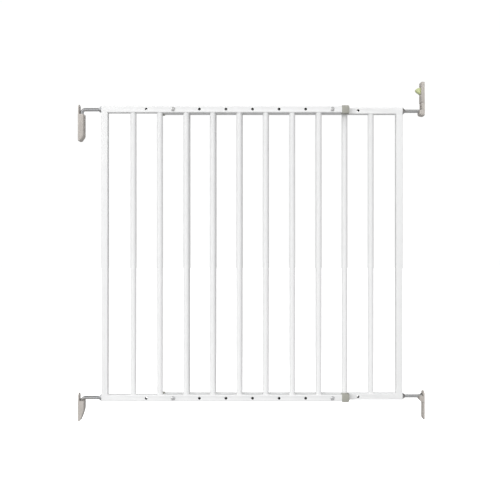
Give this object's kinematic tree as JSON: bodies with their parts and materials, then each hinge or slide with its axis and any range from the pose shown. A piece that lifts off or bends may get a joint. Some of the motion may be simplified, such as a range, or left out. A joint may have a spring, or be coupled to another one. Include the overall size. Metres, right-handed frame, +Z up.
{
  "type": "safety baby gate",
  "caption": "Extending metal safety gate with two sliding barred panels, lift-off wall hinges, an open catch and a sprung thumb lock.",
  "frame": {"origin": "midway between the two walls and between the two panels, level with the foot of the lower wall brackets", "axes": "+X from the hinge side to the lock side, +Y from the front panel to the back panel, +Z up"},
  "size_m": [0.848, 0.0426, 0.831],
  "materials": {
    "powder_coat_white": "satin powder coat",
    "zinc_steel": "bright zinc plate",
    "bracket_plastic": "fine satin grey",
    "cap_plastic": "satin grey beige",
    "slider_plastic": "pale glow-in-the-dark green, satin",
    "bush_plastic": "natural nylon",
    "spring_steel": "bare spring wire"
  },
  "bodies": {
    "hinge_wall_fittings": {"upper_hinge_base": "bracket_plastic", "upper_hinge_cover": "bracket_plastic", "lower_hinge_base": "bracket_plastic", "lower_hinge_cover": "bracket_plastic"},
    "hinge_bushes": {"upper_hinge_bush": "bush_plastic", "lower_hinge_bush": "bush_plastic"},
    "left_panel": {"left_post": "powder_coat_white", "left_top_rail": "powder_coat_white", "left_bottom_rail": "powder_coat_white", "left_bar_1": "powder_coat_white", "left_bar_2": "powder_coat_white", "left_bar_3": "powder_coat_white", "left_bar_4": "powder_coat_white", "left_bar_5": "powder_coat_white", "left_bar_6": "powder_coat_white", "left_bar_7": "powder_coat_white", "left_bar_8": "powder_coat_white", "left_top_end_cap": "cap_plastic", "left_bottom_end_cap": "cap_plastic", "left_top_plug": "zinc_steel", "left_bottom_plug": "zinc_steel", "upper_hinge_spindle": "zinc_steel", "lower_hinge_spindle": "zinc_steel", "upper_hinge_nut": "zinc_steel", "lower_hinge_nut": "zinc_steel", "right_joining_bolts": "zinc_steel", "right_joining_nuts": "zinc_steel"},
    "right_panel": {"right_post": "powder_coat_white", "right_top_rail": "powder_coat_white", "right_bottom_rail": "powder_coat_white", "right_bar_1": "powder_coat_white", "right_bar_2": "powder_coat_white", "right_bar_3": "powder_coat_white", "right_bar_4": "powder_coat_white", "right_bar_5": "powder_coat_white", "right_bar_6": "powder_coat_white", "right_bar_7": "powder_coat_white", "right_bar_8": "powder_coat_white", "right_top_end_cap": "cap_plastic", "right_bottom_end_cap": "cap_plastic", "right_top_plug": "zinc_steel", "right_bottom_plug": "zinc_steel", "upper_latch_spindle": "zinc_steel", "lower_latch_spindle": "zinc_steel", "upper_latch_nut": "zinc_steel", "lower_latch_nut": "zinc_steel", "left_joining_bolts": "zinc_steel", "left_joining_nuts": "zinc_steel"},
    "latch_wall_fittings": {"lock_base": "bracket_plastic", "lock_cover": "bracket_plastic", "latch_spring": "spring_steel", "lower_catch": "bracket_plastic"},
    "latch_slider": {"thumb_slider": "slider_plastic"}
  },
  "joints": [
    {"name": "gate_swing", "type": "hinge", "parent": "hinge_wall_fittings", "child": "hinge_bushes", "pos_m": [-0.4166, -0.009, 0.4], "axis": [0, 0, 1], "range_deg": [-85, 80]},
    {"name": "gate_lift", "type": "slide", "parent": "hinge_bushes", "child": "left_panel", "axis": [0, 0, 1], "range_m": [0, 0.01]},
    {"name": "panel_slide", "type": "slide", "parent": "left_panel", "child": "right_panel", "axis": [1, 0, 0], "range_m": [-0.0647, 0.3235], "deforming": ["left_joining_bolts", "left_joining_nuts", "right_joining_bolts", "right_joining_nuts"]},
    {"name": "opening_width", "type": "slide", "parent": "hinge_wall_fittings", "child": "latch_wall_fittings", "axis": [1, 0, 0], "range_m": [-0.0647, 0.3235]},
    {"name": "thumb_slide", "type": "slide", "parent": "latch_wall_fittings", "child": "latch_slider", "axis": [0, 0, 1], "range_m": [0, 0.01], "stiffness_N_per_m": 80, "springref_m": -0.012, "deforming": ["latch_spring"]}
  ],
  "couplings": [
    {"joint": "opening_width", "follows": "panel_slide", "ratio": 1},
    {"joint": "thumb_slide", "follows": "gate_lift", "ratio": 1}
  ]
}
